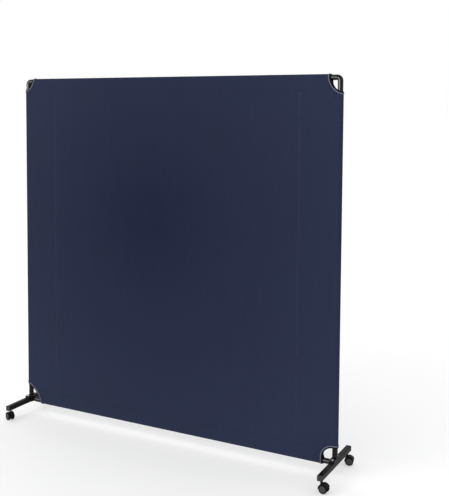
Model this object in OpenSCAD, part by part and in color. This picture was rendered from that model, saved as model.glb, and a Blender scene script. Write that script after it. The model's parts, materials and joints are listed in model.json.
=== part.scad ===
// Rolling curtain screen: a fabric curtain sleeved over a knock-down tube frame
// that stands on two cross feet with swivel casters.
// Origin: on the floor, midway between the posts. +X to the right, -Y to the front, +Z up.

/* [Frame] */
// Width over the outer sides of the two posts
frame_w = 1803; // [1400:1:2200]
// Height of the top rail's upper side above the floor
frame_h = 1829; // [1400:1:2100]
// Outer diameter of the posts and rails
tube_d = 25.4; // [22:0.2:26]
// Wall thickness of the posts and rails
tube_t = 1.2; // [1:0.1:1.5]
// Bend radius of the top elbows, at the middle of the tube
elbow_bend_r = 15; // [14:0.5:20]
// Length of each leg of an elbow, from the corner of its centre lines
elbow_leg = 100; // [60:1:140]
// Length of a plug inside a tube
plug_len = 40; // [25:1:60]

/* [Feet] */
// Length of a foot over its end caps
foot_len = 380; // [340:1:500]
// Side of the square foot tube
foot_side = 25; // [24:0.5:30]
// Height of the foot's underside above the floor
foot_z = 58; // [57:0.5:62]
// Wall thickness of the foot tube
foot_wall = 1.5; // [1:0.1:2]
// Length of the bracket that joins post, rail and foot
bracket_len = 76; // [70:1:90]
// Thickness of the bracket's plate on top of the foot
bracket_t = 9; // [6:0.5:12]
// Distance of each bracket bolt from the post's centre
bolt_y = 27; // [24:0.5:29]

/* [Casters] */
// Diameter of the wheels
wheel_d = 40; // [38:0.5:42]
// Width over both wheels of a caster
caster_w = 34; // [32:0.5:38]
// Distance from the swivel's axis back to the axle
trail = 12; // [11:0.5:14]
// Distance of each swivel's axis from the foot's middle
stem_y = 165; // [150:1:168]
// Direction that the front left caster trails, in degrees from +X
front_left_heading = 158; // [0:1:359]
// Direction that the front right caster trails, in degrees from +X
front_right_heading = 353; // [0:1:359]
// Direction that the rear left caster trails, in degrees from +X
rear_left_heading = 150; // [0:1:359]
// Direction that the rear right caster trails, in degrees from +X
rear_right_heading = 12; // [0:1:359]

/* [Curtain] */
// Thickness of the fabric with its lining
cloth_t = 0.8; // [0.5:0.1:1]
// Height that the fabric's outer face stands off the tubes
cloth_off = 2.5; // [2:0.5:5]
// Distance of each side pocket's stitch line from the middle
stitch_x = 700; // [600:1:760]
// Height of the rod pockets along the top and bottom rails
hem_h = 60; // [58:1:75]
// Radius of the top left corner's cut-out
top_left_cut_r = 64; // [55:1:100]
// Distance of its centre outside the curtain's side
top_left_cut_out = 10; // [0:1:30]
// Radius of the top right corner's cut-out
top_right_cut_r = 78; // [55:1:100]
// Distance of its centre outside the curtain's side
top_right_cut_out = 20; // [0:1:30]
// Distance of its centre below the curtain's upper edge
top_right_cut_down = 5; // [0:1:20]
// Radius of the bottom left corner's cut-out
bottom_left_cut_r = 119; // [90:1:130]
// Distance of its centre outside the curtain's side
bottom_left_cut_out = 28; // [10:1:40]
// Distance of its centre below the curtain's lower edge
bottom_left_cut_down = 12; // [0:1:30]
// Radius of the bottom right corner's rounded cut-out
bottom_right_cut_r = 50; // [40:1:80]
// Distance of its centre inside the curtain's side
bottom_right_cut_in = 21; // [0:1:30]
// Height of its centre above the curtain's lower edge
bottom_right_cut_up = 36; // [20:1:60]
// Width of the binding tape along the cut-outs
binding_w = 9; // [6:0.5:14]

/* [Hidden] */
$fn = 48;

// Sides and ends of the object
LEFT = -1;
RIGHT = 1;
FRONT = -1;
REAR = 1;

// Colours
BLACK_PAINT = [0.07, 0.07, 0.08];
BLACK_PLASTIC = [0.12, 0.12, 0.13];
ZINC = [0.62, 0.63, 0.65];
NAVY = [0.13, 0.15, 0.25];
BINDING_BLUE = [0.20, 0.22, 0.32];

// Frame
tube_r = tube_d / 2;
bore_r = tube_r - tube_t;
plug_gap = 0.1;                     // slip fit of a plug in a tube
plug_r = bore_r - plug_gap;
plug_bore_r = plug_r - 1.4;
post_x = frame_w / 2 - tube_r;      // centre line of a post
top_z = frame_h - tube_r;           // centre line of the top rail
rail_z = foot_z + foot_side / 2;    // centre line of the bottom rail
post_foot_z = foot_z + foot_side + bracket_t;
post_joint_z = (post_foot_z + top_z) / 2;

// Feet
foot_corner = 3;
cap_t = 2.4;                        // flange of an end cap
cap_face_t = 0.6;                   // raised face of an end cap
cap_plug = 10;
cheek_t = 3.5;                      // bracket's cheek on the foot's inner side
cheek_len = 40;
bracket_inner = foot_side / 2 + cheek_t;
bolt_r = 3;
bolt_hole_r = 3.2;
bolt_head_r = 5.25;
bolt_head_h = 3.3;
nut_flats = 10;
nut_h = 5;
insert_flange_t = 1;
insert_h = 13;
insert_r = 5.5;

// Casters
stem_r = 4;
stem_hex_flats = 13;
stem_hex_h = 4;
stem_tip_z = 30;
thread_top = foot_z + 16;
running_gap = 0.06;                 // radial clearance of the swivel and the wheels
wheel_r = wheel_d / 2;
axle_r = 3;
press_gap = 0.02;
wheel_in = 6.5;                     // inner face of a wheel, from the caster's middle
wheel_out = caster_w / 2;
axle_half = wheel_out - 2;
web_half = 4;
boss_r = 6;
boss_top = foot_z - insert_flange_t - stem_hex_h - 0.5;
hood_gap = 1.1;
hood_t = 1.6;
hood_from = 22;
hood_to = 188;
hood_in_r = wheel_r + hood_gap;
hood_out_r = hood_in_r + hood_t;

// Curtain
sleeve_r = tube_r + cloth_off;      // outer face of the fabric round a tube
sleeve_in = sleeve_r - cloth_t;
curtain_x = post_x + sleeve_r;
curtain_top = top_z + sleeve_r;
curtain_bottom = rail_z - sleeve_r;
binding_t = 0.9;

// ---- Shapes used more than once ----

// Models its children for the right side and mirrors them for the left
module on_side(side) {
    if (side > 0) children();
    else mirror([1, 0, 0]) children();
}

// Turns a shape along +Z so that it runs along +X
module along_x() {
    rotate([0, 90, 0]) children();
}

// Turns a flat outline and its height: outline's x to Y, outline's y to Z, height to X
module profile_along_x() {
    rotate([90, 0, 90]) children();
}

// Turns a flat outline and its height: outline's x to X, outline's y to Z, height to -Y
module profile_along_y() {
    rotate([90, 0, 0]) children();
}

module ring(r_out, r_in) {
    difference() {
        circle(r_out);
        circle(r_in);
    }
}

module pipe(length, r_out, r_in) {
    difference() {
        cylinder(r = r_out, h = length);
        translate([0, 0, -1]) cylinder(r = r_in, h = length + 2);
    }
}

// Centred rectangle with round corners
module round_rect(size, r) {
    inner = [size[0] - 2 * r, size[1] - 2 * r];
    square([size[0], inner[1]], center = true);
    square([inner[0], size[1]], center = true);
    for (x = [-1, 1], y = [-1, 1])
        translate([x * inner[0] / 2, y * inner[1] / 2]) circle(r);
}

// ---- Frame ----

module post(side, z_from, z_to) {
    color(BLACK_PAINT)
    translate([side * post_x, 0, z_from])
    pipe(z_to - z_from, tube_r, bore_r);
}

module post_coupler(side) {
    color(ZINC)
    translate([side * post_x, 0, post_joint_z - plug_len])
    pipe(2 * plug_len, plug_r, plug_bore_r);
}

// Rail tube from x_from to x_to at height z
module rail(x_from, x_to, z) {
    color(BLACK_PAINT)
    translate([x_from, 0, z]) along_x() pipe(x_to - x_from, tube_r, bore_r);
}

module rail_coupler(z) {
    color(ZINC)
    translate([-plug_len, 0, z]) along_x() pipe(2 * plug_len, plug_r, plug_bore_r);
}

// Bent tube whose reduced ends plug into the post and the top rail
module elbow(side) {
    straight = elbow_leg - elbow_bend_r;
    color(BLACK_PAINT)
    on_side(side)
    translate([post_x, 0, top_z]) {
        translate([-elbow_bend_r, 0, -elbow_bend_r])
            rotate([90, 0, 0])
            rotate_extrude(angle = 90)
            translate([elbow_bend_r, 0])
            ring(tube_r, plug_bore_r);
        translate([0, 0, -elbow_leg]) pipe(straight, tube_r, plug_bore_r);
        translate([-elbow_leg, 0, 0]) along_x() pipe(straight, tube_r, plug_bore_r);
        translate([0, 0, -elbow_leg - plug_len]) pipe(plug_len, plug_r, plug_bore_r);
        translate([-elbow_leg - plug_len, 0, 0])
            along_x() pipe(plug_len, plug_r, plug_bore_r);
    }
}

// ---- Feet ----

module foot_tube(side) {
    tube_len = foot_len - 2 * (cap_t + cap_face_t);
    color(BLACK_PAINT)
    translate([side * post_x, 0, foot_z + foot_side / 2])
    difference() {
        translate([0, tube_len / 2, 0]) profile_along_y() linear_extrude(tube_len)
            round_rect([foot_side, foot_side], foot_corner);
        translate([0, tube_len / 2 + 1, 0]) profile_along_y() linear_extrude(tube_len + 2)
            round_rect([foot_side - 2 * foot_wall, foot_side - 2 * foot_wall],
                       foot_corner - foot_wall);
        for (end = [FRONT, REAR]) {
            translate([0, end * bolt_y, -foot_side]) cylinder(r = bolt_hole_r, h = 2 * foot_side);
            translate([0, end * stem_y, -foot_side]) cylinder(r = insert_r + 0.1, h = foot_side);
        }
    }
}

// Saddle on the foot with a spigot for the post and one for the bottom rail
module foot_bracket(side) {
    plate_w = foot_side + cheek_t;
    color(BLACK_PLASTIC)
    on_side(side)
    translate([post_x, 0, 0])
    difference() {
        union() {
            translate([-cheek_t / 2, 0, foot_z + foot_side])
                linear_extrude(bracket_t) round_rect([plate_w, bracket_len], 4);
            translate([-bracket_inner, -cheek_len / 2, foot_z])
                cube([cheek_t, cheek_len, foot_side + bracket_t / 2]);
            translate([0, 0, post_foot_z]) cylinder(r = plug_r, h = plug_len);
            translate([-bracket_inner - plug_len, 0, rail_z])
                along_x() cylinder(r = plug_r, h = plug_len);
        }
        translate([0, 0, post_foot_z + 2]) cylinder(r = plug_bore_r, h = plug_len);
        translate([-bracket_inner - plug_len - 2, 0, rail_z])
            along_x() cylinder(r = plug_bore_r, h = plug_len);
        for (end = [FRONT, REAR])
            translate([0, end * bolt_y, foot_z]) cylinder(r = bolt_hole_r, h = 60);
    }
}

module bracket_bolts(side) {
    color(ZINC)
    for (end = [FRONT, REAR])
        translate([side * post_x, end * bolt_y, 0]) {
            translate([0, 0, foot_z - nut_h - 1])
                cylinder(r = bolt_r, h = post_foot_z - foot_z + nut_h + 1);
            translate([0, 0, post_foot_z])
                difference() {
                    rotate_extrude()
                        polygon([[0, 0], [bolt_head_r, 0],
                                 for (a = [0:15:75])
                                     [bolt_head_r * cos(a), 0.8 + (bolt_head_h - 0.8) * sin(a)],
                                 [0, bolt_head_h]]);
                    translate([0, 0, bolt_head_h - 2])
                        cylinder(r = 4 / sqrt(3), h = 3, $fn = 6);
                }
        }
}

module bracket_nuts(side) {
    color(ZINC)
    for (end = [FRONT, REAR])
        translate([side * post_x, end * bolt_y, foot_z - nut_h])
            difference() {
                cylinder(r = nut_flats / sqrt(3), h = nut_h, $fn = 6);
                translate([0, 0, -1]) cylinder(r = bolt_r + press_gap, h = nut_h + 2);
            }
}

module foot_end_cap(side, end) {
    outer = foot_side;
    plug = foot_side - 2 * foot_wall - 0.2;
    face_y = foot_len / 2;
    color(BLACK_PLASTIC)
    translate([side * post_x, 0, foot_z + foot_side / 2])
    rotate([0, 0, end > 0 ? 0 : 180]) {
        translate([0, face_y - cap_face_t, 0]) profile_along_y() linear_extrude(cap_t)
            round_rect([outer, outer], foot_corner);
        translate([0, face_y, 0]) profile_along_y() linear_extrude(cap_face_t)
            round_rect([outer - 2, outer - 2], foot_corner);
        translate([0, face_y - cap_face_t - cap_t, 0]) profile_along_y()
            linear_extrude(cap_plug)
            difference() {
                round_rect([plug, plug], 1.4);
                square(plug - 3.6, center = true);
            }
    }
}

// Threaded inserts in the foot's underside that take the caster stems
module foot_inserts(side) {
    color(ZINC)
    for (end = [FRONT, REAR])
        translate([side * post_x, end * stem_y, foot_z])
            difference() {
                union() {
                    cylinder(r = insert_r, h = insert_h);
                    translate([0, 0, -insert_flange_t])
                        cylinder(r = insert_r + 1.5, h = insert_flange_t);
                }
                translate([0, 0, -2]) cylinder(r = stem_r + press_gap, h = insert_h + 4);
            }
}

// ---- Casters: modelled trailing along +X, axle along Y, swivel axis at x = 0 ----

module at_caster(side, end, heading) {
    translate([side * post_x, end * stem_y, 0]) rotate([0, 0, heading]) children();
}

module caster_stem() {
    color(ZINC) {
        translate([0, 0, stem_tip_z]) cylinder(r = stem_r, h = thread_top - stem_tip_z);
        translate([0, 0, foot_z - insert_flange_t - stem_hex_h])
            cylinder(r = stem_hex_flats / sqrt(3), h = stem_hex_h, $fn = 6);
    }
}

// Arc band of the given width about the axle
module hood_band(r_out, r_in, width) {
    translate([trail, 0, wheel_r])
        rotate([90, 0, 0])
        translate([0, 0, -width / 2])
        rotate([0, 0, hood_from])
        rotate_extrude(angle = hood_to - hood_from)
        translate([r_in, 0])
        square([r_out - r_in, width]);
}

module caster_housing() {
    color(BLACK_PLASTIC)
    difference() {
        union() {
            hood_band(hood_out_r, hood_in_r, caster_w - 2);
            hood_band(hood_in_r + 0.5, axle_r + 8, 2 * web_half);
            translate([trail, web_half, wheel_r]) rotate([90, 0, 0])
                cylinder(r = wheel_r - 5, h = 2 * web_half);
            translate([trail, wheel_in - 0.4, wheel_r]) rotate([90, 0, 0])
                cylinder(r = axle_r + 4, h = 2 * wheel_in - 0.8);
            translate([0, 0, stem_tip_z - 8]) cylinder(r = boss_r, h = boss_top - stem_tip_z + 8);
        }
        translate([0, 0, stem_tip_z - 1]) cylinder(r = stem_r + running_gap, h = 40);
        translate([trail, caster_w, wheel_r]) rotate([90, 0, 0])
            cylinder(r = axle_r + press_gap, h = 2 * caster_w);
    }
}

module caster_axle() {
    color(ZINC)
    translate([trail, axle_half, wheel_r]) rotate([90, 0, 0])
        cylinder(r = axle_r, h = 2 * axle_half);
}

// One wheel; face is +1 for the wheel on the +Y side of the caster and -1 for the other
module caster_wheel(face) {
    round_r = 2.8;
    hub_r = 7.5;
    rim_r = wheel_r - 4;
    dish = 1.6;
    color(BLACK_PLASTIC)
    translate([trail, 0, wheel_r])
    rotate([-90 * face, 0, 0])
    rotate_extrude()
    polygon([
        [axle_r + running_gap, wheel_in],
        [hub_r, wheel_in],
        [hub_r + 1, wheel_in + 2.5],
        [rim_r - 1, wheel_in + 2.5],
        [rim_r, wheel_in],
        for (a = [0:22.5:90])
            [wheel_r - 1.5 + 1.5 * sin(a), wheel_in + 1.5 - 1.5 * cos(a)],
        for (a = [0:15:90])
            [wheel_r - round_r + round_r * cos(a), wheel_out - round_r + round_r * sin(a)],
        [rim_r, wheel_out],
        [rim_r - 1.5, wheel_out - dish],
        [hub_r + 1.5, wheel_out - dish],
        [hub_r, wheel_out - 0.4],
        [0, wheel_out - 0.4],
        [0, axle_half + 0.3],
        [axle_r + running_gap, axle_half + 0.3]
    ]);
}

// ---- Curtain ----

// Radius of a corner's cut-out; up is +1 for a top corner and -1 for a bottom one
function cut_r(side, up) =
    up > 0 ? (side > 0 ? top_right_cut_r : top_left_cut_r)
           : (side > 0 ? bottom_right_cut_r : bottom_left_cut_r);

// Centre of a cut-out's round corner in the X-Z plane, for a right side
function cut_centre(side, up) =
    up > 0 ? [curtain_x + (side > 0 ? top_right_cut_out : top_left_cut_out),
              curtain_top - (side > 0 ? top_right_cut_down : 0)]
           : [curtain_x + (side > 0 ? -bottom_right_cut_in : bottom_left_cut_out),
              curtain_bottom + (side > 0 ? bottom_right_cut_up : -bottom_left_cut_down)];

// Outline of a cut-out, grown all round: a round corner with straight sides running outwards
module cut_outline(side, up, grow) {
    far = 120;
    centre = cut_centre(side, up);
    hull()
        for (dx = [0, far], dz = [0, far])
            translate([centre[0] + dx, centre[1] + up * dz])
                circle(cut_r(side, up) + grow, $fn = 96);
}

// Prisms that cut the four corners out of the fabric
module corner_cuts() {
    deep = 4 * sleeve_r;
    for (side = [LEFT, RIGHT], up = [-1, 1])
        on_side(side) translate([0, deep / 2, 0]) profile_along_y() linear_extrude(deep)
            cut_outline(side, up, 0);
}

module curtain_front() {
    color(NAVY)
    difference() {
        translate([-post_x, -sleeve_r, rail_z])
            cube([2 * post_x, cloth_t, top_z - rail_z]);
        corner_cuts();
    }
}

// Half ring on the +x side of the outline's origin
module half_ring() {
    difference() {
        ring(sleeve_r, sleeve_in);
        translate([-2 * sleeve_r, -2 * sleeve_r]) square([2 * sleeve_r, 4 * sleeve_r]);
    }
}

// Back layer of a pocket: a slanting strip from the tube's rear to the front sheet's back
module back_layer(reach) {
    run = reach * cloth_t / (2 * sleeve_in);
    lap = 0.2;  // overlap with the half ring, so that both are one piece
    polygon([[0, sleeve_r], [lap, sleeve_r - 0.1], [lap, sleeve_in + 0.1], [0, sleeve_in],
             [-reach, -sleeve_in], [-reach - run, -sleeve_in]]);
}

module side_pocket(side) {
    color(NAVY)
    difference() {
        on_side(side)
        translate([post_x, 0, 0]) {
            translate([0, 0, rail_z]) linear_extrude(top_z - rail_z) half_ring();
            translate([0, 0, rail_z + hem_h + 2])
                linear_extrude(top_z - rail_z - 2 * hem_h - 4)
                back_layer(post_x - stitch_x);
        }
        corner_cuts();
    }
}

// Turns a tube's pocket outline so that its back layer runs towards the curtain's middle
module sleeve_profile(up) {
    mirror([0, up > 0 ? 0 : 1]) rotate(90) mirror([0, 1]) children();
}

// Pocket round a rail at height z; up is +1 for the top rail and -1 for the bottom rail.
// Its back layer ends short of the posts.
module rail_sleeve(z, up) {
    short = tube_r + 6;
    color(NAVY)
    difference() {
        union() {
            translate([-post_x, 0, z]) profile_along_x()
                linear_extrude(2 * post_x) sleeve_profile(up) half_ring();
            translate([short - post_x, 0, z]) profile_along_x()
                linear_extrude(2 * (post_x - short)) sleeve_profile(up) back_layer(hem_h);
        }
        corner_cuts();
    }
}

// Tape along the edge of one cut-out, on the front of the fabric
module binding(side, up) {
    color(BINDING_BLUE)
    on_side(side)
    translate([0, -sleeve_r, 0]) profile_along_y() linear_extrude(binding_t)
        intersection() {
            difference() {
                cut_outline(side, up, binding_w);
                cut_outline(side, up, 0);
            }
            translate([post_x - 120, up > 0 ? top_z - 120 : rail_z]) square(120);
        }
}

post(LEFT, post_foot_z, post_joint_z);  // left_post_lower
post(LEFT, post_joint_z, top_z - elbow_leg);  // left_post_upper
post_coupler(LEFT);  // left_post_coupler
post(RIGHT, post_foot_z, post_joint_z);  // right_post_lower
post(RIGHT, post_joint_z, top_z - elbow_leg);  // right_post_upper
post_coupler(RIGHT);  // right_post_coupler
rail(elbow_leg - post_x, 0, top_z);  // top_rail_left
rail(0, post_x - elbow_leg, top_z);  // top_rail_right
rail_coupler(top_z);  // top_rail_coupler
rail(bracket_inner - post_x, 0, rail_z);  // bottom_rail_left
rail(0, post_x - bracket_inner, rail_z);  // bottom_rail_right
rail_coupler(rail_z);  // bottom_rail_coupler
elbow(LEFT);  // top_left_elbow
elbow(RIGHT);  // top_right_elbow

foot_tube(LEFT);  // left_foot_tube
foot_bracket(LEFT);  // left_foot_bracket
foot_end_cap(LEFT, FRONT);  // left_foot_front_cap
foot_end_cap(LEFT, REAR);  // left_foot_rear_cap
bracket_bolts(LEFT);  // left_bracket_bolts
bracket_nuts(LEFT);  // left_bracket_nuts
foot_inserts(LEFT);  // left_foot_inserts
foot_tube(RIGHT);  // right_foot_tube
foot_bracket(RIGHT);  // right_foot_bracket
foot_end_cap(RIGHT, FRONT);  // right_foot_front_cap
foot_end_cap(RIGHT, REAR);  // right_foot_rear_cap
bracket_bolts(RIGHT);  // right_bracket_bolts
bracket_nuts(RIGHT);  // right_bracket_nuts
foot_inserts(RIGHT);  // right_foot_inserts

at_caster(LEFT, FRONT, 0) caster_stem();  // front_left_stem
at_caster(LEFT, FRONT, front_left_heading) caster_housing();  // front_left_housing
at_caster(LEFT, FRONT, front_left_heading) caster_axle();  // front_left_axle
at_caster(LEFT, FRONT, front_left_heading) caster_wheel(1);  // front_left_outer_wheel
at_caster(LEFT, FRONT, front_left_heading) caster_wheel(-1);  // front_left_inner_wheel
at_caster(RIGHT, FRONT, 0) caster_stem();  // front_right_stem
at_caster(RIGHT, FRONT, front_right_heading) caster_housing();  // front_right_housing
at_caster(RIGHT, FRONT, front_right_heading) caster_axle();  // front_right_axle
at_caster(RIGHT, FRONT, front_right_heading) caster_wheel(-1);  // front_right_outer_wheel
at_caster(RIGHT, FRONT, front_right_heading) caster_wheel(1);  // front_right_inner_wheel
at_caster(LEFT, REAR, 0) caster_stem();  // rear_left_stem
at_caster(LEFT, REAR, rear_left_heading) caster_housing();  // rear_left_housing
at_caster(LEFT, REAR, rear_left_heading) caster_axle();  // rear_left_axle
at_caster(LEFT, REAR, rear_left_heading) caster_wheel(-1);  // rear_left_outer_wheel
at_caster(LEFT, REAR, rear_left_heading) caster_wheel(1);  // rear_left_inner_wheel
at_caster(RIGHT, REAR, 0) caster_stem();  // rear_right_stem
at_caster(RIGHT, REAR, rear_right_heading) caster_housing();  // rear_right_housing
at_caster(RIGHT, REAR, rear_right_heading) caster_axle();  // rear_right_axle
at_caster(RIGHT, REAR, rear_right_heading) caster_wheel(1);  // rear_right_outer_wheel
at_caster(RIGHT, REAR, rear_right_heading) caster_wheel(-1);  // rear_right_inner_wheel

curtain_front();
side_pocket(LEFT);  // curtain_left_pocket
side_pocket(RIGHT);  // curtain_right_pocket
rail_sleeve(top_z, 1);  // curtain_top_sleeve
rail_sleeve(rail_z, -1);  // curtain_bottom_sleeve
binding(LEFT, 1);  // top_left_binding
binding(RIGHT, 1);  // top_right_binding
binding(LEFT, -1);  // bottom_left_binding
binding(RIGHT, -1);  // bottom_right_binding
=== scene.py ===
"""Looks of the rolling curtain screen: its cloth, trim, finishes, floor, light and camera."""

import bisect
import json
import math

import bmesh
import bpy
from mathutils import Matrix, Vector, noise


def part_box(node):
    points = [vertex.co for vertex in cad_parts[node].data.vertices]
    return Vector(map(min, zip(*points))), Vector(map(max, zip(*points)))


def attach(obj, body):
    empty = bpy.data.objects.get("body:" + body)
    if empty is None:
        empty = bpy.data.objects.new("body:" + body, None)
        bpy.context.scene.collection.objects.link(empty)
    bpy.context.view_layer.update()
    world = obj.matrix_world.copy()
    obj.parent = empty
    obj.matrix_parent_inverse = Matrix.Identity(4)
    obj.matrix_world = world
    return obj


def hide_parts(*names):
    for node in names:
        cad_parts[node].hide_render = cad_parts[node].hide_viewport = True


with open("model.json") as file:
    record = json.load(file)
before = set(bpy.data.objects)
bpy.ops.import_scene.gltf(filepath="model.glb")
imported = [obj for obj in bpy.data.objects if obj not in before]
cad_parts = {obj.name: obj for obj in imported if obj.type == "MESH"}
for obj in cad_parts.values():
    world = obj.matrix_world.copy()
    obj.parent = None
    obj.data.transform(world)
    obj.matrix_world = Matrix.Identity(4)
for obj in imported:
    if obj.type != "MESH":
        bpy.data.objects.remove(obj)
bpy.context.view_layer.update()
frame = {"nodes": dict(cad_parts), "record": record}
scene = bpy.context.scene
nodes = frame["nodes"]

MM = 0.001
LEFT, RIGHT = -1, 1
BOTTOM, TOP = -1, 1

# ---- Sizes, from the frame and from the design ----

sheet_low, sheet_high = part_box("curtain_front")
pocket_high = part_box("curtain_right_pocket")[1]
post_x = sheet_high.x                  # centre line of the right post
rail_z = sheet_low.z                   # centre line of the bottom rail
top_z = sheet_high.z                   # centre line of the top rail
mid_z = (rail_z + top_z) / 2
half_h = (top_z - rail_z) / 2
sleeve_r = pocket_high.y               # outer face of the cloth round a tube
CLOTH_T = 0.7 * MM
cloth_r = sleeve_r - CLOTH_T / 2       # middle of the cloth round a tube
half_turn = math.pi * cloth_r          # length of cloth from a tube's front to its rear
tube_r = (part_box("right_post_lower")[1].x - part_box("right_post_lower")[0].x) / 2
curtain_x = post_x + sleeve_r
STITCH_X = 0.700                       # stitch line of the side pockets
HEM_H = 0.060                          # stitch line of the rod pockets, from the rail's centre
SEAM_ALLOWANCE = 0.011
HEM_GAP = 0.002                        # from a side pocket's end to the rod pocket's allowance
BACK_SHORT = 0.006                     # from a rod pocket's back layer to the post
TAPE_BEHIND = 0.018                    # length of tape on a rod pocket's back
TWIN_ROW = 0.0026                      # from a seam's middle to each of its two stitch rows
# Corner cut-outs: radius of the round corner, how far its middle lies outside the curtain's side
# and how far inside the curtain's upper or lower edge
CUTS = {
    (LEFT, TOP): (0.064, 0.010, 0.0),
    (RIGHT, TOP): (0.078, 0.020, 0.005),
    (LEFT, BOTTOM): (0.119, 0.028, -0.012),
    (RIGHT, BOTTOM): (0.050, -0.021, 0.036),
}
BINDING_W = 0.008
CORD_R = 0.0019
WHEEL_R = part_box("front_left_outer_wheel")[1].z / 2


# ---- Small tools ----


def smooth(value):
    """0 below 0, 1 above 1 and an S-curve between."""
    t = max(0.0, min(1.0, value))
    return t * t * (3 - 2 * t)


def new_piece(name, verts, faces, body, slot, material, shade_smooth=True):
    """A mesh object that rides on a body, with the given material; the slot argument is not used."""
    mesh = bpy.data.meshes.new(name)
    mesh.from_pydata([tuple(v) for v in verts], [], faces)
    mesh.validate()
    mesh.update()
    piece = bpy.data.objects.new(name, mesh)
    scene.collection.objects.link(piece)
    mesh.materials.append(material)
    if shade_smooth:
        mesh.shade_smooth()
    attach(piece, body)
    return piece


def apply_modifiers(piece):
    """Leaves the piece's mesh as its modifiers show it."""
    shown = piece.evaluated_get(bpy.context.evaluated_depsgraph_get())
    mesh = bpy.data.meshes.new_from_object(shown)
    piece.modifiers.clear()
    piece.data = mesh


# ---- Procedural materials ----


class Shader:
    """A node material with one Principled shader and helpers that add nodes to it."""

    def __init__(self, name, **values):
        self.material = bpy.data.materials.new(name)
        self.material.use_nodes = True
        self.tree = self.material.node_tree
        self.main = self.tree.nodes["Principled BSDF"]
        for socket, value in values.items():
            self.main.inputs[socket.replace("_", " ")].default_value = value

    def add(self, kind, inputs=None, **settings):
        """A node with its settings and its inputs, each a value or another node's output."""
        node = self.tree.nodes.new(kind)
        for key, value in settings.items():
            setattr(node, key, value)
        for key, value in (inputs or {}).items():
            if isinstance(value, bpy.types.NodeSocket):
                self.tree.links.new(value, node.inputs[key])
            else:
                node.inputs[key].default_value = value
        return node

    def place(self):
        """The point on the piece, in metres."""
        return self.add("ShaderNodeTexCoord").outputs["Object"]

    def noise(self, scale, detail=2.0, roughness=0.5, where=None):
        node = self.add(
            "ShaderNodeTexNoise",
            {"Vector": where or self.place(), "Scale": scale, "Detail": detail,
             "Roughness": roughness},
        )
        return node.outputs["Fac"]

    def spread(self, value, low, high, to_low=0.0, to_high=1.0):
        """Maps low..high of a value to another range, clamped."""
        node = self.add(
            "ShaderNodeMapRange",
            {"Value": value, "From Min": low, "From Max": high, "To Min": to_low,
             "To Max": to_high},
        )
        return node.outputs["Result"]

    def math(self, operation, a, b=0.0):
        node = self.add("ShaderNodeMath", {0: a, 1: b}, operation=operation)
        return node.outputs["Value"]

    def mix(self, factor, a, b):
        node = self.add("ShaderNodeMix", data_type="RGBA")
        for key, value in (("Factor", factor), ("A", a), ("B", b)):
            sockets = [s for s in node.inputs if s.name == key and s.enabled]
            if isinstance(value, bpy.types.NodeSocket):
                self.tree.links.new(value, sockets[0])
            else:
                sockets[0].default_value = value
        return [s for s in node.outputs if s.enabled][0]

    def bump(self, height, distance, strength=1.0):
        node = self.add(
            "ShaderNodeBump", {"Height": height, "Distance": distance, "Strength": strength}
        )
        self.link("Normal", node.outputs["Normal"])

    def link(self, socket, value):
        self.tree.links.new(value, self.main.inputs[socket])


def rgb(red, green, blue):
    return (red, green, blue, 1.0)


def woven_cloth(name, dark, light, thread, sheen, bump, painted_sheen_from=None):
    """Plain weave of threads that far apart, with slubs and faint bands. Given a point in metres as the
    last argument, the cloth is paler away from that point: painted sheen, light on its outer parts painted
    into its colour."""
    s = Shader(name, Roughness=0.85, Sheen_Weight=sheen, Sheen_Roughness=0.5,
               Specular_IOR_Level=0.05)
    split = s.add("ShaderNodeSeparateXYZ", {"Vector": s.place()})
    x, y, z = (split.outputs[k] for k in "XYZ")
    across = s.math("ADD", x, y)
    turn = 2 * math.pi / thread
    warp = s.math("SINE", s.math("MULTIPLY", across, turn))
    weft = s.math("SINE", s.math("MULTIPLY", z, turn))
    weave = s.math("MULTIPLY", warp, weft)
    slub = s.noise(900.0, 2.0)
    height = s.math("ADD", s.math("MULTIPLY", weave, 0.5), s.math("MULTIPLY", slub, 0.7))
    patches = s.noise(3.0, 3.0)
    stretched = s.add("ShaderNodeMapping", {"Vector": s.place(), "Scale": (220.0, 220.0, 6.0)})
    streaks = s.noise(1.0, 2.0, where=stretched.outputs["Vector"])
    shade = s.math(
        "ADD", s.spread(patches, 0.3, 0.7, 0.0, 0.06), s.spread(streaks, 0.3, 0.7, 0.0, 0.10)
    )
    shade = s.math("ADD", shade, s.spread(weave, -1.0, 1.0, 0.0, 0.16))
    # Painted sheen: the colour turns paler away from the given point, standing in for light on the cloth's
    # outer parts.
    if painted_sheen_from:
        away = s.add("ShaderNodeVectorMath", {0: s.place(), 1: painted_sheen_from}, operation="DISTANCE")
        uneven = s.math("ADD", away.outputs["Value"], s.spread(patches, 0.3, 0.7, -0.05, 0.05))
        shade = s.math("ADD", shade, s.spread(uneven, 0.1, 1.3, 0.0, 0.56))
    else:
        shade = s.math("MULTIPLY", shade, 2.1)
    s.link("Base Color", s.mix(shade, dark, light))
    s.link("Roughness", s.spread(patches, 0.3, 0.7, 0.76, 0.88))
    s.bump(height, 0.00012, bump)
    return s.material


def powder_coat(name, smooth_rough, scuffed_rough, shine):
    """Black powder coat with orange peel and faint scuffs."""
    s = Shader(name, IOR=1.5, Specular_IOR_Level=shine)
    scuff = s.noise(38.0, 6.0, 0.7)
    fine = s.noise(650.0, 2.0)
    scuffed = s.spread(scuff, 0.56, 0.72)
    s.link("Base Color", s.mix(scuffed, rgb(0.003, 0.003, 0.0033), rgb(0.012, 0.012, 0.0125)))
    s.link("Roughness", s.spread(scuff, 0.35, 0.7, smooth_rough, scuffed_rough))
    s.bump(fine, 0.00006, 0.5)
    return s.material


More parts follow.
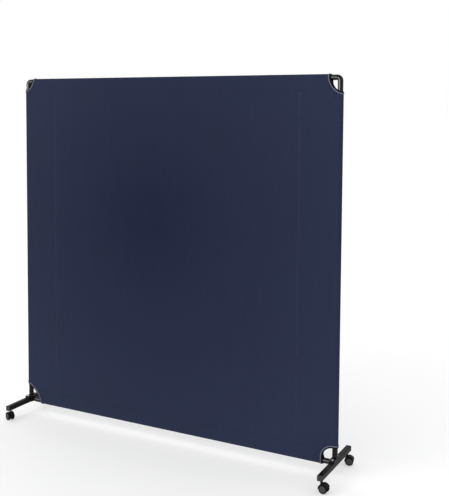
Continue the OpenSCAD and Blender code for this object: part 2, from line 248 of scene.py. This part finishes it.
def moulded_plastic(name, dark, light, low_rough, high_rough, grain, depth, shine=0.12):
    """Fine-grained moulded plastic with rubbed patches."""
    s = Shader(name, IOR=1.48, Specular_IOR_Level=shine)
    rubbed = s.noise(55.0, 4.0, 0.6)
    texture = s.noise(grain, 3.0, 0.6)
    s.link("Base Color", s.mix(s.spread(rubbed, 0.4, 0.7), dark, light))
    s.link("Roughness", s.spread(rubbed, 0.35, 0.7, high_rough, low_rough))
    s.bump(texture, depth, 0.6)
    return s.material


def zinc_plate():
    """Bright zinc with a faint crystalline mottling and drawn lines."""
    s = Shader("zinc plate", Metallic=1.0)
    mottle = s.noise(260.0, 3.0)
    s.link("Base Color", s.mix(mottle, rgb(0.42, 0.43, 0.45), rgb(0.66, 0.66, 0.67)))
    s.link("Roughness", s.spread(mottle, 0.3, 0.7, 0.22, 0.42))
    s.bump(s.noise(1400.0, 2.0), 0.00003, 0.5)
    return s.material


def sewing_thread(name, dark, light, sheen, shine):
    """Twisted thread."""
    s = Shader(name, Roughness=0.55, Sheen_Weight=sheen, Sheen_Roughness=0.4,
               Specular_IOR_Level=shine)
    twist = s.noise(2600.0, 1.0)
    s.link("Base Color", s.mix(twist, dark, light))
    s.bump(twist, 0.0001, 0.5)
    return s.material


# Navy cloth; its paler colour away from the given point is painted sheen, light on the cloth's outer
# parts.
NAVY = woven_cloth("navy woven cloth", rgb(0.0050, 0.0084, 0.0320), rgb(0.0277, 0.0361, 0.0715),
                   0.0011, 0.01, 0.5, painted_sheen_from=(-0.12, 0.0, 1.14))
TAPE = woven_cloth("binding tape", rgb(0.003, 0.0035, 0.006), rgb(0.007, 0.008, 0.013),
                   0.0016, 0.02, 0.8)
# Edge cord: its pale colour is partly its own lighter navy and partly a painted highlight of light
# catching the raised cord.
CORD_WITH_PAINTED_HIGHLIGHT = woven_cloth("edge cord with painted highlight", rgb(0.13, 0.14, 0.19), rgb(0.21, 0.225, 0.29),
                   0.0008, 0.3, 0.8)
BLACK = powder_coat("black powder coat", 0.20, 0.34, 0.20)
FOOT_COAT = powder_coat("satin black powder coat", 0.34, 0.48, 0.07)
PLASTIC = moulded_plastic("black moulded plastic", rgb(0.004, 0.004, 0.0045),
                          rgb(0.012, 0.012, 0.013), 0.36, 0.52, 900.0, 0.00008)
CAP = moulded_plastic("end cap plastic", rgb(0.030, 0.030, 0.031),
                      rgb(0.058, 0.058, 0.060), 0.40, 0.55, 900.0, 0.00008)
CASTER = moulded_plastic("caster nylon", rgb(0.003, 0.003, 0.0035),
                         rgb(0.009, 0.009, 0.010), 0.38, 0.55, 1100.0, 0.00006, 0.06)
TYRE = moulded_plastic("black tyre", rgb(0.002, 0.002, 0.0022),
                       rgb(0.009, 0.009, 0.009), 0.55, 0.75, 700.0, 0.0001, 0.04)
DISC = moulded_plastic("grey wheel disc", rgb(0.038, 0.038, 0.040),
                       rgb(0.070, 0.070, 0.072), 0.40, 0.55, 800.0, 0.00008)
ZINC = zinc_plate()
THREAD = sewing_thread("sewing thread", rgb(0.016, 0.021, 0.055), rgb(0.036, 0.045, 0.095),
                       0.3, 0.5)
HEM_THREAD = sewing_thread("hem thread", rgb(0.012, 0.017, 0.045), rgb(0.022, 0.030, 0.062),
                           0.01, 0.05)

FINISH = {
    "black_paint": BLACK,
    "black_plastic": PLASTIC,
    "caster_plastic": CASTER,
    "caster_wheel": TYRE,
    "zinc": ZINC,
    "curtain_fabric": NAVY,
    "binding": TAPE,
}


def finish_cad_nodes():
    """Gives each CAD node its slot's material; feet are less glossy and their caps greyer."""
    for part in frame["record"]["subparts"]:
        node = nodes[part["node"]]
        material = FINISH[part["material_slot"]]
        if part["node"].endswith("foot_tube"):
            material = FOOT_COAT
        if part["node"].endswith("_cap"):
            material = CAP
        node.data.materials.clear()
        node.data.materials.append(material)


# ---- The curtain's cloth ----


def section(along, half, reach):
    """Path of the cloth across one direction, from the middle out: along the front, round the tube
    and back to the stitch line. along is the length of cloth from the middle, half the tube's place
    and reach the distance from the tube to the stitch line. Returns the place across, the depth (y)
    and the outward normal (across, y)."""
    r = cloth_r
    depth_at_stitch = r - 1.2 * CLOTH_T
    far = math.hypot(reach, depth_at_stitch)
    lean = math.asin(r / far) + math.atan2(depth_at_stitch, reach)
    turned = math.pi + lean
    if along <= half:
        return along, -r, (0.0, -1.0)
    angle = (along - half) / r
    if angle <= turned:
        return (half + r * math.sin(angle), -r * math.cos(angle),
                (math.sin(angle), -math.cos(angle)))
    past = along - half - turned * r
    straight = math.sqrt(far * far - r * r)
    out = (math.sin(turned), -math.cos(turned))
    go = (math.cos(turned), math.sin(turned))
    if past <= straight:
        return half + r * out[0] + past * go[0], r * out[1] + past * go[1], out
    return (half - reach - (past - straight), -depth_at_stitch, (0.0, 1.0))


def section_length(reach):
    """Length of cloth from the tube's front to the end of the seam allowance."""
    r = cloth_r
    depth_at_stitch = r - 1.2 * CLOTH_T
    far = math.hypot(reach, depth_at_stitch)
    lean = math.asin(r / far) + math.atan2(depth_at_stitch, reach)
    return (math.pi + lean) * r + math.sqrt(far * far - r * r), (math.pi + lean) * r


SIDE_REACH = post_x - STITCH_X
side_length, side_wrap = section_length(SIDE_REACH)
hem_length, hem_wrap = section_length(HEM_H)
side_end = post_x + side_length + SEAM_ALLOWANCE     # cloth's half width, flat
hem_end = half_h + hem_length + SEAM_ALLOWANCE       # cloth's half height, flat


def cut_centre(side, end):
    """Middle of a cut-out's round corner: its distances from the curtain's middle across and up."""
    _, out, down = CUTS[side, end]
    return curtain_x + out, half_h + sleeve_r - down


def past_cut(side, end, x, z):
    """How far a point, in the front view, lies inside the cloth from a corner's cut edge."""
    cx, cz = cut_centre(side, end)
    dx = max(cx - side * x, 0.0)
    dz = max(cz - end * (z - mid_z), 0.0)
    return math.hypot(dx, dz) - CUTS[side, end][0]


def relief(x, z):
    """How far the taut cloth lies in front of its flat plane: soft waves, folds that run in from the
    corners and the dips along the seams."""
    rise = 1.5 * MM * noise.noise(Vector((x * 1.7, 3.1, z * 1.7)))
    rise += 0.5 * MM * noise.noise(Vector((x * 6.0, 7.7, z * 2.2)))
    for side in (LEFT, RIGHT):
        for end in (TOP, BOTTOM):
            cx, cz = cut_centre(side, end)
            away = past_cut(side, end, x, z)
            if away > 0.6:
                continue
            angle = math.atan2(max(cz - end * (z - mid_z), 0.0), max(cx - side * x, 0.001))
            ripple = math.cos(angle * 19.0 + side * 0.8 + end * 0.5)
            bend = math.sin(angle * 7.0 + 1.3 * side)
            fade = smooth(away / 0.03) * math.exp(-away / 0.13)
            rise += (0.9 * ripple + 0.8 * bend) * MM * fade
    near_post = smooth((post_x - 0.004 - abs(x)) / 0.03)
    near_rail = smooth((half_h - 0.004 - abs(z - mid_z)) / 0.03)
    rise *= near_post * near_rail
    seam = abs(abs(x) - STITCH_X)
    rise -= 0.8 * MM * math.exp(-((seam / 0.0028) ** 2)) * near_rail
    hem = abs(half_h - HEM_H - abs(z - mid_z))
    rise -= 0.3 * MM * math.exp(-((hem / 0.0028) ** 2)) * near_post
    return rise


def cloth_point(u, v):
    """Place and outward normal of the cloth's point that lies u across and v up when the cloth is flat."""
    side = RIGHT if u >= 0 else LEFT
    end = TOP if v >= 0 else BOTTOM
    x, y, (nx, ny) = section(abs(u), post_x, SIDE_REACH)
    z, y_up, (nz, ny_up) = section(abs(v), half_h, HEM_H)
    if abs(u) <= post_x and abs(v) > half_h:
        y, nx, ny = y_up, 0.0, ny_up
    else:
        nz = 0.0
    place = Vector((side * x, y, mid_z + end * z))
    normal = Vector((side * nx, ny, end * nz))
    if abs(u) <= post_x and abs(v) <= half_h:
        place.y -= relief(place.x, place.z)
    elif abs(u) > post_x + side_wrap and abs(u) < post_x + side_length:
        share = (abs(u) - post_x - side_wrap) / (side_length - side_wrap)
        wave = noise.noise(Vector((place.x * 9.0, 1.7 * side, place.z * 3.0)))
        place += normal * (2.2 * MM * wave * math.sin(math.pi * share))
    return place, normal


def cloth_inside(u, v):
    """Above 0 where there is cloth: outside the corner cut-outs. Behind the tubes, the side pockets
    end at the rod pockets' hems and the rod pockets end short of the posts."""
    if abs(u) > post_x and abs(v) > half_h:
        return -1.0
    place, _ = cloth_point(u, v)
    side = RIGHT if u >= 0 else LEFT
    end = TOP if v >= 0 else BOTTOM
    inside = past_cut(side, end, place.x, place.z)
    if abs(u) > post_x + half_turn:
        inside = min(inside, half_h - HEM_H - SEAM_ALLOWANCE - HEM_GAP - abs(v))
    if abs(v) > half_h + half_turn:
        inside = min(inside, post_x - tube_r - BACK_SHORT - abs(u))
    return inside


def grid_lines(stretches, marks=()):
    """Increasing grid lines: stretches are (from, to, step), and round each mark lines lie close."""
    close = [m + o * MM for m in marks for o in (-6, -4, -2.4, -1.2, 0, 1.2, 2.4, 4, 6)]
    found = []
    for start, stop, step in stretches:
        count = max(1, round((stop - start) / step))
        found += [start + (stop - start) * i / count for i in range(count + 1)]
    found = [f for f in found if all(abs(f - c) > 1.4 * MM for c in close)]
    merged = sorted(close + found)
    return [b for a, b in zip([-1e9] + merged, merged) if b - a > 0.3 * MM]


def mirrored(lines):
    return sorted({round(s * value, 7) for value in lines for s in (-1, 1)})


def crossing(a, b):
    """The point between grid points a and b, as (u, v), where the cloth ends."""
    low, high = (a, b) if cloth_inside(*a) > 0 else (b, a)
    for _ in range(18):
        middle = ((low[0] + high[0]) / 2, (low[1] + high[1]) / 2)
        if cloth_inside(*middle) > 0:
            low = middle
        else:
            high = middle
    return low


def cloth_mesh(us, vs):
    """Vertices and faces of the cloth on those grid lines, and its flat area; cells that its edge
    crosses are cut along it."""
    inside = [[cloth_inside(u, v) > 0 for v in vs] for u in us]
    verts, flat, faces, known = [], [], [], {}
    area = 0.0

    def vertex(key, where):
        if key not in known:
            known[key] = len(verts)
            verts.append(cloth_point(*where)[0])
            flat.append(where)
        return known[key]

    for i in range(len(us) - 1):
        for j in range(len(vs) - 1):
            ring = [(i, j), (i + 1, j), (i + 1, j + 1), (i, j + 1)]
            if not any(inside[a][b] for a, b in ring):
                continue
            face = []
            for a, b in zip(ring, ring[1:] + ring[:1]):
                here, there = (us[a[0]], vs[a[1]]), (us[b[0]], vs[b[1]])
                if inside[a[0]][a[1]]:
                    face.append(vertex(a, here))
                if inside[a[0]][a[1]] != inside[b[0]][b[1]]:
                    face.append(vertex((min(a, b), max(a, b)), crossing(here, there)))
            if len(set(face)) >= 3:
                faces.append(face)
                spots = [flat[k] for k in face]
                for (ua, va), (ub, vb) in zip(spots, spots[1:] + spots[:1]):
                    area += (ua * vb - ub * va) / 2
    return verts, faces, area


def make_curtain():
    """The one sewn cover: front, pockets round posts and rails, and their seam allowances."""
    us = mirrored(grid_lines(
        [(0.0, 0.78, 0.018), (0.785, post_x, 0.005), (post_x, post_x + side_wrap, 0.0032),
         (post_x + side_wrap, post_x + side_length, 0.014),
         (post_x + side_length, side_end, 0.004)],
        [STITCH_X],
    ))
    vs = mirrored(grid_lines(
        [(0.0, half_h - 0.12, 0.018), (half_h - 0.115, half_h, 0.005),
         (half_h, half_h + hem_wrap, 0.0032), (half_h + hem_wrap, half_h + hem_length, 0.007),
         (half_h + hem_length, hem_end, 0.004)],
        [half_h - HEM_H],
    ))
    verts, faces, area = cloth_mesh(us, vs)
    cover = new_piece("curtain_cover", verts, faces, "frame", "curtain_fabric", NAVY)
    thick = cover.modifiers.new("thickness", "SOLIDIFY")
    thick.thickness = CLOTH_T
    thick.offset = 0.0
    apply_modifiers(cover)
    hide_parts("curtain_front", "curtain_left_pocket", "curtain_right_pocket",
                "curtain_top_sleeve", "curtain_bottom_sleeve")
    return cover, area


# ---- Trim on the cloth ----


def cut_edge(side, end, inset=0.0):
    """Points (u, v) along a corner's cut edge, from the rod pocket's end over the rail, round the
    corner and round the post to the side pocket's end; inset moves them into the cloth."""
    cx, cz = cut_centre(side, end)
    r = CUTS[side, end][0] + inset

    def across(z):
        return cx - math.sqrt(max(r * r - max(cz - z, 0.0) ** 2, 0.0))

    def up(x):
        return cz - math.sqrt(max(r * r - max(cx - x, 0.0) ** 2, 0.0))

    points = []
    steps = 16
    for i in range(steps, 0, -1):
        v = half_h + (hem_wrap + TAPE_BEHIND) * i / steps
        points.append((across(section(v, half_h, HEM_H)[0]), v))
    if cz < half_h:
        points += [(cx - r, half_h + (cz - half_h) * i / 4) for i in range(4)]
    start = math.asin(max(cz - half_h, 0.0) / r)
    stop = math.acos(max(cx - post_x, 0.0) / r)
    arc = 30
    for i in range(arc + 1):
        angle = start + (stop - start) * i / arc
        points.append((cx - r * math.cos(angle), cz - r * math.sin(angle)))
    if cx < post_x:
        points += [(cx + (post_x - cx) * i / 2, cz - r) for i in (1, 2)]
    for i in range(1, steps + 1):
        u = post_x + half_turn * i / steps
        points.append((u, up(section(u, post_x, SIDE_REACH)[0])))
    return [(side * u, end * v) for u, v in points]


def sweep(rings):
    """Vertices and faces of a closed solid through rings of points, with its two ends filled."""
    count = len(rings[0])
    verts = [p for ring in rings for p in ring]
    faces = []
    for i in range(len(rings) - 1):
        for j in range(count):
            k = (j + 1) % count
            a, b = i * count, (i + 1) * count
            faces.append((a + j, a + k, b + k, b + j))
    faces.append(tuple(reversed(range(count))))
    last = (len(rings) - 1) * count
    faces.append(tuple(last + j for j in range(count)))
    return verts, faces


def frames_along(path):
    """Place, outward normal and inward direction at each point of a cut edge."""
    placed = [cloth_point(u, v) for u, v in path]
    found = []
    for i, (place, normal) in enumerate(placed):
        before = placed[max(i - 1, 0)][0]
        after = placed[min(i + 1, len(placed) - 1)][0]
        ahead = (after - before).normalized()
        inward = normal.cross(ahead).normalized()
        found.append((place, normal, inward))
    return found


def facing_in(frames, side, end):
    """The same frames with every inward direction pointing away from the corner."""
    cx, cz = cut_centre(side, end)
    middle = frames[len(frames) // 2]
    from_corner = middle[0] - Vector((side * cx, middle[0].y, mid_z + end * cz))
    turn = 1 if middle[2].dot(from_corner) > 0 else -1
    return [(place, normal, turn * inward) for place, normal, inward in frames]


def make_binding(side, end, name):
    """Folded tape over a cut edge and the cord stitched along its inner side; the cord's pale colour is
    partly its own and partly a painted highlight of light catching the raised cord.
    """
    edge = facing_in(frames_along(cut_edge(side, end)), side, end)
    w, half = BINDING_W, 0.5 * CLOTH_T + 0.1 * MM
    outer = half + 0.7 * MM
    profile = [(w, outer), (0.5 * w, outer + 0.15 * MM), (0.0, outer), (-0.8 * MM, 0.7 * outer),
               (-1.1 * MM, 0.0), (-0.8 * MM, -0.7 * outer), (0.0, -outer), (w, -outer),
               (w, -half), (0.0, -half), (0.0, half), (w, half)]
    rings = [[p + inward * a + normal * b for a, b in profile] for p, normal, inward in edge]
    verts, faces = sweep(rings)
    tape = new_piece(name, verts, faces, "frame", "binding", TAPE, shade_smooth=False)
    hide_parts(name)

    inner = facing_in(frames_along(cut_edge(side, end, BINDING_W + 0.3 * MM)), side, end)
    rings = []
    for p, normal, inward in inner:
        middle = p + normal * (0.5 * CLOTH_T + 0.8 * CORD_R)
        rings.append([
            middle + (inward * math.cos(a) + normal * math.sin(a)) * CORD_R
            for a in (2 * math.pi * k / 10 for k in range(10))
        ])
    verts, faces = sweep(rings)
    cord = new_piece(name.replace("binding", "edge_cord"), verts, faces, "frame", "binding", CORD_WITH_PAINTED_HIGHLIGHT)
    return tape, cord


def stitch_row(path, lift, length=3.2 * MM, gap=1.3 * MM, radius=0.28 * MM):
    """Raised stitches along a path of (place, normal)."""
    marks = [0.0]
    for (a, _), (b, _) in zip(path, path[1:]):
        marks.append(marks[-1] + (b - a).length)
    verts, faces = [], []

    def at(distance):
        i = min(max(bisect.bisect_right(marks, distance) - 1, 0), len(path) - 2)
        share = (distance - marks[i]) / (marks[i + 1] - marks[i])
        (a, normal_a), (b, normal_b) = path[i], path[i + 1]
        return a.lerp(b, share), normal_a.lerp(normal_b, share).normalized()

    count = int(marks[-1] / (length + gap))
    for i in range(count):
        start = i * (length + gap)
        base = len(verts)
        for share, height in ((0.0, -0.4), (0.22, 0.8), (0.78, 0.8), (1.0, -0.4)):
            place, normal = at(start + share * length)
            after, _ = at(start + share * length + 0.5 * MM)
            before, _ = at(start + share * length - 0.5 * MM)
            ahead = (after - before).normalized()
            across = normal.cross(ahead).normalized()
            middle = place + normal * (lift + height * radius)
            for k in range(5):
                a = 2 * math.pi * k / 5
                verts.append(middle + (across * math.cos(a) + normal * math.sin(a)) * radius)
        for ring in range(3):
            for k in range(5):
                a, b = base + 5 * ring, base + 5 * (ring + 1)
                faces.append((a + k, a + (k + 1) % 5, b + (k + 1) % 5, b + k))
        faces.append(tuple(base + k for k in reversed(range(5))))
        faces.append(tuple(base + 15 + k for k in range(5)))
    return verts, faces


def make_stitching():
    """Stitch rows of the pockets, on the front of the cloth and on the back of its seam allowances."""
    side_rows, hem_rows = ([], []), ([], [])

    def add(rows, row):
        base = len(rows[0])
        rows[0].extend(row[0])
        rows[1].extend(tuple(base + k for k in face) for face in row[1])

    steps = 60
    for side in (LEFT, RIGHT):
        for offset in (-TWIN_ROW, TWIN_ROW):
            path = []
            for i in range(steps + 1):
                v = (half_h - HEM_H) * (2 * i / steps - 1)
                path.append(cloth_point(side * (STITCH_X + offset), v))
            add(side_rows, stitch_row(path, 0.5 * CLOTH_T))
            back = [(p - Vector((0, p.y + cloth_r, 0)), Vector((0, 1, 0))) for p, n in path]
            back = [(p, n) for p, n in back if abs(p.z - mid_z) < half_h - HEM_H - 0.014]
            shift = Vector((-side * 2 * TWIN_ROW, 0, 0))
            add(side_rows, stitch_row([(p + shift, n) for p, n in back], 1.7 * CLOTH_T))
    for end in (BOTTOM, TOP):
        reach = post_x - 0.095
        for offset in (-TWIN_ROW, TWIN_ROW):
            path = []
            for i in range(steps + 1):
                u = reach * (2 * i / steps - 1)
                path.append(cloth_point(u, end * (half_h - HEM_H + offset)))
            add(hem_rows, stitch_row(path, 0.5 * CLOTH_T, radius=0.18 * MM))
            back = [(Vector((p.x, -cloth_r, p.z)), Vector((0, 1, 0))) for p, n in path]
            shift = Vector((0, 0, -end * 2 * TWIN_ROW))
            add(hem_rows, stitch_row([(p + shift, n) for p, n in back], 1.7 * CLOTH_T))
    return [
        new_piece("pocket_stitching", *side_rows, "frame", "curtain_fabric", THREAD),
        new_piece("hem_stitching", *hem_rows, "frame", "curtain_fabric", HEM_THREAD),
    ]


# ---- Caster wheels ----


def revolved(name, profile, centre, axis, node, material):
    """A closed profile of (radius, distance along the axis), in mm, turned about an axis."""
    steps = 48
    side_a = axis.orthogonal().normalized()
    side_b = axis.cross(side_a)
    verts, rings = [], []
    for radius, along in profile:
        count = steps if radius > 0 else 1
        rings.append([len(verts) + k for k in range(count)])
        for k in range(count):
            turn = 2 * math.pi * k / steps
            out = side_a * math.cos(turn) + side_b * math.sin(turn)
            verts.append(centre + (axis * along + out * radius) * MM)
    faces = []
    for ring, after in zip(rings, rings[1:] + rings[:1]):
        if len(ring) == 1 and len(after) == 1:
            continue
        for k in range(steps):
            j = (k + 1) % steps
            corners = [ring[k % len(ring)], ring[j % len(ring)],
                       after[j % len(after)], after[k % len(after)]]
            faces.append(tuple(dict.fromkeys(corners)))
    piece = new_piece(name, verts, faces, node, "caster_wheel", material)
    shape = bmesh.new()
    shape.from_mesh(piece.data)
    bmesh.ops.recalc_face_normals(shape, faces=shape.faces)
    shape.to_mesh(piece.data)
    shape.free()
    piece.data.set_sharp_from_angle(angle=math.radians(32))
    return piece


def make_wheels():
    """Black tyres round grey dished discs, in the place of the CAD's one-piece wheels."""
    r = WHEEL_R / MM
    inner, outer, rim, hub, bore = 6.5, 17.0, r - 4.0, 7.5, 3.06
    bead = [(r - 1.5 + 1.5 * math.sin(a), inner + 1.5 - 1.5 * math.cos(a))
            for a in (math.radians(k) for k in range(0, 91, 18))]
    tread = [(r - 2.8 + 2.8 * math.cos(a), outer - 2.8 + 2.8 * math.sin(a))
             for a in (math.radians(k) for k in range(0, 91, 10))]
    tyre = [(rim - 0.8, inner + 0.4), (rim, inner), *bead, *tread, (rim + 0.3, outer - 0.1),
            (rim, outer - 0.4), (rim - 0.8, outer - 1.4)]
    disc = [(bore, inner), (hub, inner), (hub + 1, inner + 2.5), (rim - 0.9, inner + 2.5),
            (rim - 0.7, outer - 1.2), (rim - 1.1, outer - 1.0), (rim - 1.6, outer - 1.1),
            (rim - 2.4, outer - 1.7), (hub + 2.2, outer - 1.7), (hub + 1.4, outer - 1.2),
            (hub + 0.3, outer - 1.1), (hub, outer - 0.6), (hub - 0.5, outer - 0.4),
            (0, outer - 0.3), (0, outer - 1.7), (bore, outer - 1.7)]
    for joint in frame["record"]["behaviour"]["joints"]:
        node = joint["child"]
        if not node.endswith("wheel"):
            continue
        centre, axis = Vector(joint["pos_m"]), Vector(joint["axis"])
        low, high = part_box(node)
        if ((low + high) / 2 - centre).dot(axis) < 0:
            axis = -axis
        tread_piece = revolved(f"{node}_tyre", tyre, centre, axis, node, TYRE)
        revolved(f"{node}_disc", disc, centre, axis, node, DISC)
        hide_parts(node)


# ---- Floor, light and camera ----


def make_floor():
    """Pale flat floor, far larger than any view of the object."""
    reach = 160.0
    verts = [(x * reach, y * reach, 0.0) for x, y in ((-1, -1), (1, -1), (1, 1), (-1, 1))]
    mesh = bpy.data.meshes.new("studio_floor")
    mesh.from_pydata(verts, [], [(0, 1, 2, 3)])
    floor = bpy.data.objects.new("studio_floor", mesh)
    scene.collection.objects.link(floor)
    s = Shader("pale lit floor", Roughness=0.8, Specular_IOR_Level=0.1,
               Emission_Color=rgb(1.0, 1.0, 1.0), Emission_Strength=0.39)
    s.link("Base Color", s.mix(s.noise(0.8, 2.0), rgb(0.60, 0.60, 0.60), rgb(0.63, 0.63, 0.63)))
    mesh.materials.append(s.material)


def make_lights():
    """A bright room all round, a soft key light and a long strip for the tubes' highlights."""
    world = bpy.data.worlds.new("studio")
    world.use_nodes = True
    back = world.node_tree.nodes["Background"]
    back.inputs["Color"].default_value = (1.0, 1.0, 1.0, 1.0)
    back.inputs["Strength"].default_value = 1.0
    scene.world = world
    for name, place, aim, size, power, lights_all in (
        ("key", (-3.0, -4.5, 5.0), (0, 0, 0.6), (3.0, 3.0), 60.0, True),
        ("front strip", (-2.3, -5.2, 2.2), (0, 0, 1.2), (6.0, 2.0), 780.0, False),
    ):
        lamp = bpy.data.lights.new(name, "AREA")
        lamp.shape = "RECTANGLE"
        lamp.size, lamp.size_y = size
        lamp.energy = power
        light = bpy.data.objects.new(name, lamp)
        light.location = place
        light.rotation_euler = (Vector(aim) - Vector(place)).to_track_quat("-Z", "Y").to_euler()
        light.visible_camera = False
        light.visible_diffuse = lights_all
        scene.collection.objects.link(light)


def make_camera():
    """Slightly above the curtain's middle, to the right, as far as the view needs."""
    lens_px, long_side_px, sensor = 832.0, 496, 36.0
    lens = bpy.data.cameras.new("camera")
    lens.sensor_width = sensor
    lens.lens = lens_px / long_side_px * sensor
    lens.shift_y = -0.165
    camera = bpy.data.objects.new("camera", lens)
    yaw, down, roll = (math.radians(a) for a in (27.811, 3.686, 0.359))
    turn = Matrix.Rotation(yaw, 4, "Z") @ Matrix.Rotation(math.pi / 2 - down, 4, "X")
    turn = turn @ Matrix.Rotation(roll, 4, "Z")
    camera.matrix_world = Matrix.Translation((2.1601, -3.5043, 1.6573)) @ turn
    scene.collection.objects.link(camera)
    scene.camera = camera


make_camera()
finish_cad_nodes()
make_wheels()
cover, cloth_area = make_curtain()
trim = []
for end_name, end in (("top", TOP), ("bottom", BOTTOM)):
    for side_name, side in (("left", LEFT), ("right", RIGHT)):
        trim += make_binding(side, end, f"{end_name}_{side_name}_binding")
stitching = make_stitching()
make_floor()
make_lights()
scene.view_settings.view_transform = "Standard"
